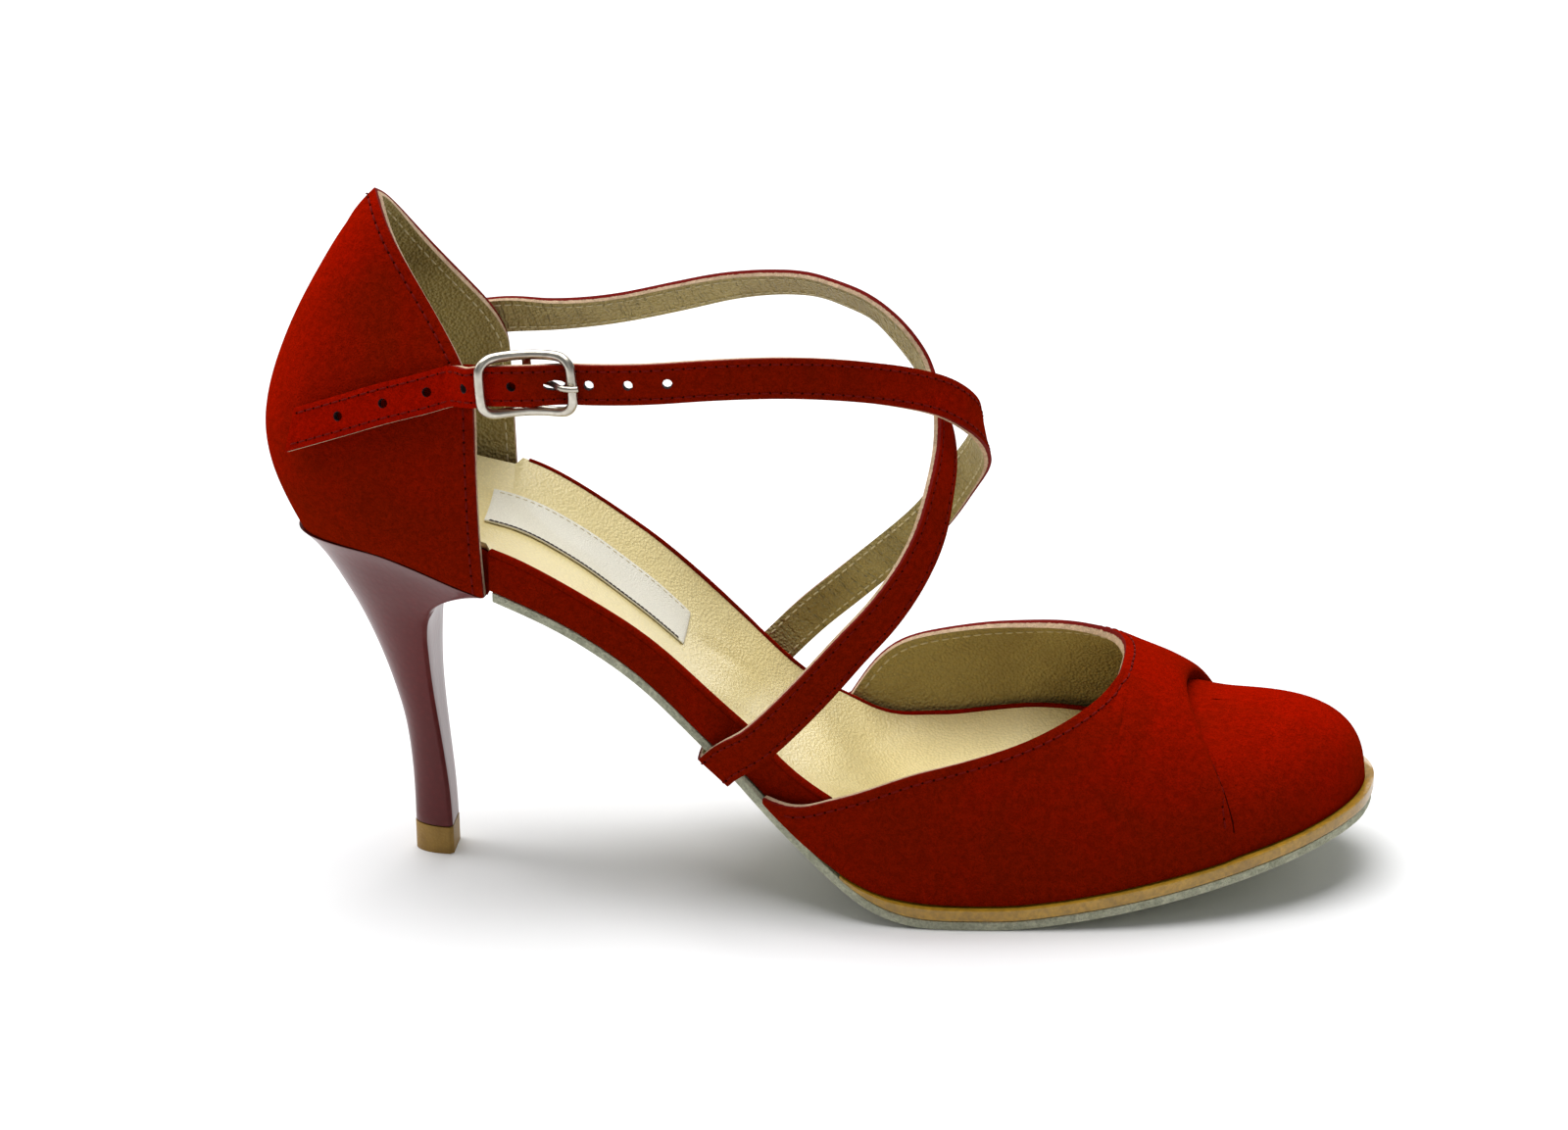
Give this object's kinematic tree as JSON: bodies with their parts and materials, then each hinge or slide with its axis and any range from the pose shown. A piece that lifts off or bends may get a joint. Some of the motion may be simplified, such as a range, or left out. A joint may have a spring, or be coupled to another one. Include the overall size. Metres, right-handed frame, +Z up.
{
  "type": "tango shoe",
  "caption": "Woman's high-heeled tango shoe: closed toe, pointed heel counter, and one long crossed strap with a buckle, in suede.",
  "frame": {"origin": "centre of the heel tip's floor face", "axes": "+X towards the toe, +Y towards the inner (medial) side of the foot, +Z up"},
  "size_m": [0.2269, 0.0749, 0.1416],
  "materials": {
    "red_suede": "matt suede nap",
    "suede_sole": "rough chrome suede",
    "amber_edge": "lacquered edge",
    "sock_leather": "soft sheen",
    "label_cloth": "woven",
    "heel_lacquer": "gloss lacquer",
    "lift_rubber": "satin",
    "nickel": "polished"
  },
  "bodies": {
    "root": {"outsole": "suede_sole", "midsole": "amber_edge", "insole_board": "red_suede", "insole": "sock_leather", "sock_label": "label_cloth", "heel": "heel_lacquer", "top_lift": "lift_rubber", "vamp": "red_suede", "counter": "red_suede", "strap": "red_suede", "buckle_frame": "nickel", "buckle_prong": "nickel", "buckle_loop": "red_suede"}
  },
  "joints": []
}
